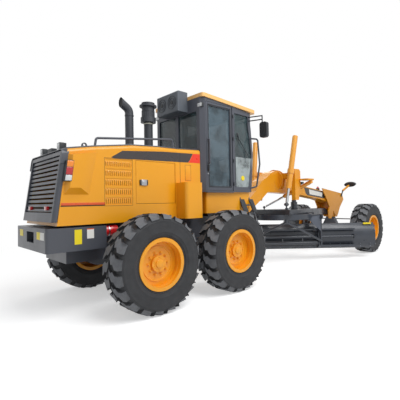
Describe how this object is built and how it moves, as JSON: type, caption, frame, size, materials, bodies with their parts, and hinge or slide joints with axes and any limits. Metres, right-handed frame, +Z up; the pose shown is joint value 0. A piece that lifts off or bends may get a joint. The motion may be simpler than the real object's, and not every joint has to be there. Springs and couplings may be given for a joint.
{
  "type": "motor grader",
  "caption": "Articulated motor grader: engine hood and glazed cab behind, gooseneck front frame with a turning circle and slanted moldboard, leaning steered wheels.",
  "frame": {"origin": "on the ground at the middle of the machine's footprint box", "axes": "+X forward, +Y to the driver's left, +Z up"},
  "size_m": [8.9025, 2.9838, 3.441],
  "materials": {
    "body_yellow": "gloss",
    "cylinder_yellow": "gloss",
    "rim_yellow": "satin",
    "frame_dark": "satin",
    "blade_dark": "satin",
    "cab_dark": "satin",
    "engine_grey": "matte",
    "tyre_rubber": "matte",
    "window_glass": "gloss",
    "seat_plastic": "matte",
    "rod_chrome": "gloss"
  },
  "bodies": {
    "rear_frame": {"rear_chassis": "frame_dark", "tandem_axle": "frame_dark", "rear_counterweight": "frame_dark", "engine_block": "engine_grey", "engine_hood": "body_yellow", "radiator_cowl": "cab_dark", "hood_stacks": "cab_dark", "hand_rails": "cab_dark", "rear_lamps": "cab_dark", "side_tanks": "body_yellow", "cab_base": "body_yellow", "cab_frame": "cab_dark", "cab_roof": "body_yellow", "cab_glass": "window_glass", "air_conditioner": "cab_dark", "cab_interior": "seat_plastic", "ladders": "cab_dark", "mirrors": "cab_dark"},
    "front_frame_body": {"front_frame": "body_yellow", "saddle": "body_yellow", "front_axle": "frame_dark", "front_mirror": "body_yellow", "centre_shift_barrel": "cylinder_yellow"},
    "hood_door_right_body": {"hood_door_right": "body_yellow"},
    "hood_door_left_body": {"hood_door_left": "body_yellow"},
    "cab_door_right_body": {"cab_door_right": "cab_dark", "door_glass_right": "window_glass"},
    "cab_door_left_body": {"cab_door_left": "cab_dark", "door_glass_left": "window_glass"},
    "yoke_left": {"lean_yoke_left": "frame_dark"},
    "yoke_right": {"lean_yoke_right": "frame_dark"},
    "knuckle_left": {"steering_knuckle_left": "frame_dark"},
    "knuckle_right": {"steering_knuckle_right": "frame_dark"},
    "tie_stud": {"tie_rod_end": "frame_dark"},
    "tie_bar": {"tie_rod": "frame_dark"},
    "lean_link": {"lean_bar": "frame_dark"},
    "ball_cross": {"drawbar_ball": "blade_dark"},
    "drawbar_body": {"drawbar": "blade_dark"},
    "circle_body": {"circle": "blade_dark"},
    "carriage": {"blade_carriage": "blade_dark"},
    "blade": {"moldboard": "blade_dark"},
    "lift_cylinder_left": {"lift_barrel_left": "cylinder_yellow"},
    "lift_cylinder_right": {"lift_barrel_right": "cylinder_yellow"},
    "lift_plunger_left": {"lift_rod_left": "rod_chrome"},
    "lift_plunger_right": {"lift_rod_right": "rod_chrome"},
    "shift_plunger": {"centre_shift_rod": "rod_chrome"},
    "wheel_rear_right": {"rim_rear_right": "rim_yellow", "tyre_rear_right": "tyre_rubber"},
    "wheel_rear_left": {"rim_rear_left": "rim_yellow", "tyre_rear_left": "tyre_rubber"},
    "wheel_middle_right": {"rim_middle_right": "rim_yellow", "tyre_middle_right": "tyre_rubber"},
    "wheel_middle_left": {"rim_middle_left": "rim_yellow", "tyre_middle_left": "tyre_rubber"},
    "wheel_front_right": {"rim_front_right": "rim_yellow", "tyre_front_right": "tyre_rubber"},
    "wheel_front_left": {"rim_front_left": "rim_yellow", "tyre_front_left": "tyre_rubber"}
  },
  "joints": [
    {"name": "articulation", "type": "hinge", "parent": "rear_frame", "child": "front_frame_body", "pos_m": [-0.9665, 0.19399, 1.08], "axis": [0, 0, 1], "range_deg": [-27, 27]},
    {"name": "wheel_rear_right_spin", "type": "hinge", "parent": "rear_frame", "child": "wheel_rear_right", "pos_m": [-3.2155, -0.88401, 0.668], "axis": [0, 1, 0], "continuous": true},
    {"name": "wheel_rear_left_spin", "type": "hinge", "parent": "rear_frame", "child": "wheel_rear_left", "pos_m": [-3.2155, 1.27199, 0.668], "axis": [0, 1, 0], "continuous": true},
    {"name": "wheel_middle_right_spin", "type": "hinge", "parent": "rear_frame", "child": "wheel_middle_right", "pos_m": [-1.6775, -0.88401, 0.668], "axis": [0, 1, 0], "continuous": true},
    {"name": "wheel_middle_left_spin", "type": "hinge", "parent": "rear_frame", "child": "wheel_middle_left", "pos_m": [-1.6775, 1.27199, 0.668], "axis": [0, 1, 0], "continuous": true},
    {"name": "wheel_front_right_spin", "type": "hinge", "parent": "knuckle_right", "child": "wheel_front_right", "pos_m": [3.7725, -0.88401, 0.668], "axis": [0, 1, 0], "continuous": true},
    {"name": "wheel_front_left_spin", "type": "hinge", "parent": "knuckle_left", "child": "wheel_front_left", "pos_m": [3.7725, 1.27199, 0.668], "axis": [0, 1, 0], "continuous": true},
    {"name": "wheel_lean_left", "type": "hinge", "parent": "front_frame_body", "child": "yoke_left", "pos_m": [3.7725, 0.99399, 0.668], "axis": [1, 0, 0], "range_deg": [-17, 17]},
    {"name": "steer_left", "type": "hinge", "parent": "yoke_left", "child": "knuckle_left", "pos_m": [3.7725, 0.99399, 0.668], "axis": [0, 0, 1], "range_deg": [-50, 50]},
    {"name": "wheel_lean_right", "type": "hinge", "parent": "front_frame_body", "child": "yoke_right", "pos_m": [3.7725, -0.60601, 0.668], "axis": [1, 0, 0], "range_deg": [-17, 17]},
    {"name": "steer_right", "type": "hinge", "parent": "yoke_right", "child": "knuckle_right", "pos_m": [3.7725, -0.60601, 0.668], "axis": [0, 0, 1], "range_deg": [-50, 50]},
    {"name": "tie_rod_end_turn", "type": "hinge", "parent": "knuckle_left", "child": "tie_stud", "pos_m": [3.5725, 0.99399, 0.732], "axis": [0, 0, 1], "range_deg": [-50, 50]},
    {"name": "tie_rod_turn", "type": "hinge", "parent": "tie_stud", "child": "tie_bar", "pos_m": [3.5725, 0.99399, 0.732], "axis": [1, 0, 0], "range_deg": [-17, 17]},
    {"name": "lean_bar_turn", "type": "hinge", "parent": "yoke_left", "child": "lean_link", "pos_m": [3.8765, 0.99399, 0.893], "axis": [1, 0, 0], "range_deg": [-17, 17]},
    {"name": "drawbar_swing", "type": "hinge", "parent": "front_frame_body", "child": "ball_cross", "pos_m": [3.4405, 0.19399, 1.11], "axis": [0, 0, 1], "range_deg": [-9, 9]},
    {"name": "drawbar_lift", "type": "hinge", "parent": "ball_cross", "child": "drawbar_body", "pos_m": [3.4405, 0.19399, 1.11], "axis": [0, 1, 0], "range_deg": [-19.5, 4.7]},
    {"name": "circle_rotate", "type": "hinge", "parent": "drawbar_body", "child": "circle_body", "pos_m": [1.1975, 0.19399, 1.08], "axis": [0, 0, -1], "range_deg": [-4.3, 275.7]},
    {"name": "blade_pitch", "type": "hinge", "parent": "circle_body", "child": "carriage", "pos_m": [1.04734, 0.04011, 0.43], "axis": [0.7157, -0.6984, 0], "range_deg": [-28, 14]},
    {"name": "blade_sideshift", "type": "slide", "parent": "carriage", "child": "blade", "axis": [0.7157, -0.6984, 0], "range_m": [-0.85, 0.32]},
    {"name": "cab_door_right_swing", "type": "hinge", "parent": "rear_frame", "child": "cab_door_right_body", "pos_m": [-1.2685, -0.49301, 1.672], "axis": [0, 0, 1], "range_deg": [0, 90]},
    {"name": "cab_door_left_swing", "type": "hinge", "parent": "rear_frame", "child": "cab_door_left_body", "pos_m": [-1.2685, 0.88099, 1.672], "axis": [0, 0, -1], "range_deg": [0, 90]},
    {"name": "hood_door_right_swing", "type": "hinge", "parent": "rear_frame", "child": "hood_door_right_body", "pos_m": [-2.5315, -0.43601, 1.474], "axis": [0, 0, 1], "range_deg": [0, 75]},
    {"name": "hood_door_left_swing", "type": "hinge", "parent": "rear_frame", "child": "hood_door_left_body", "pos_m": [-2.5315, 0.82399, 1.474], "axis": [0, 0, -1], "range_deg": [0, 75]},
    {"name": "lift_cylinder_left_swing", "type": "hinge", "parent": "front_frame_body", "child": "lift_cylinder_left", "pos_m": [0.88028, 0.74437, 2.15], "axis": [1, 0, 0], "range_deg": [-29, 29]},
    {"name": "lift_plunger_left_slide", "type": "slide", "parent": "lift_cylinder_left", "child": "lift_plunger_left", "axis": [0.1662, 0.0636, 0.984], "range_m": [-0.93, 0.225]},
    {"name": "lift_cylinder_right_swing", "type": "hinge", "parent": "front_frame_body", "child": "lift_cylinder_right", "pos_m": [0.88028, -0.3564, 2.15], "axis": [1, 0, 0], "range_deg": [-29, 29]},
    {"name": "lift_plunger_right_slide", "type": "slide", "parent": "lift_cylinder_right", "child": "lift_plunger_right", "axis": [0.1662, -0.0636, 0.984], "range_m": [-0.93, 0.225]},
    {"name": "shift_plunger_slide", "type": "slide", "parent": "front_frame_body", "child": "shift_plunger", "axis": [-0.2215, 0.8706, -0.4393], "range_m": [-0.33, 0.33]}
  ],
  "couplings": [
    {"joint": "steer_right", "follows": "steer_left", "ratio": 1},
    {"joint": "tie_rod_end_turn", "follows": "steer_left", "ratio": -1},
    {"joint": "wheel_lean_right", "follows": "wheel_lean_left", "ratio": 1},
    {"joint": "tie_rod_turn", "follows": "wheel_lean_left", "ratio": -1},
    {"joint": "lean_bar_turn", "follows": "wheel_lean_left", "ratio": -1},
    {"joint": "lift_cylinder_left_swing", "follows": "drawbar_swing", "ratio": -3.2},
    {"joint": "lift_cylinder_right_swing", "follows": "drawbar_swing", "ratio": -3.2},
    {"joint": "lift_plunger_left_slide", "follows": "drawbar_lift", "m_per_rad": 2.725},
    {"joint": "lift_plunger_right_slide", "follows": "drawbar_lift", "m_per_rad": 2.725},
    {"joint": "shift_plunger_slide", "follows": "drawbar_swing", "m_per_rad": -2.08}
  ]
}
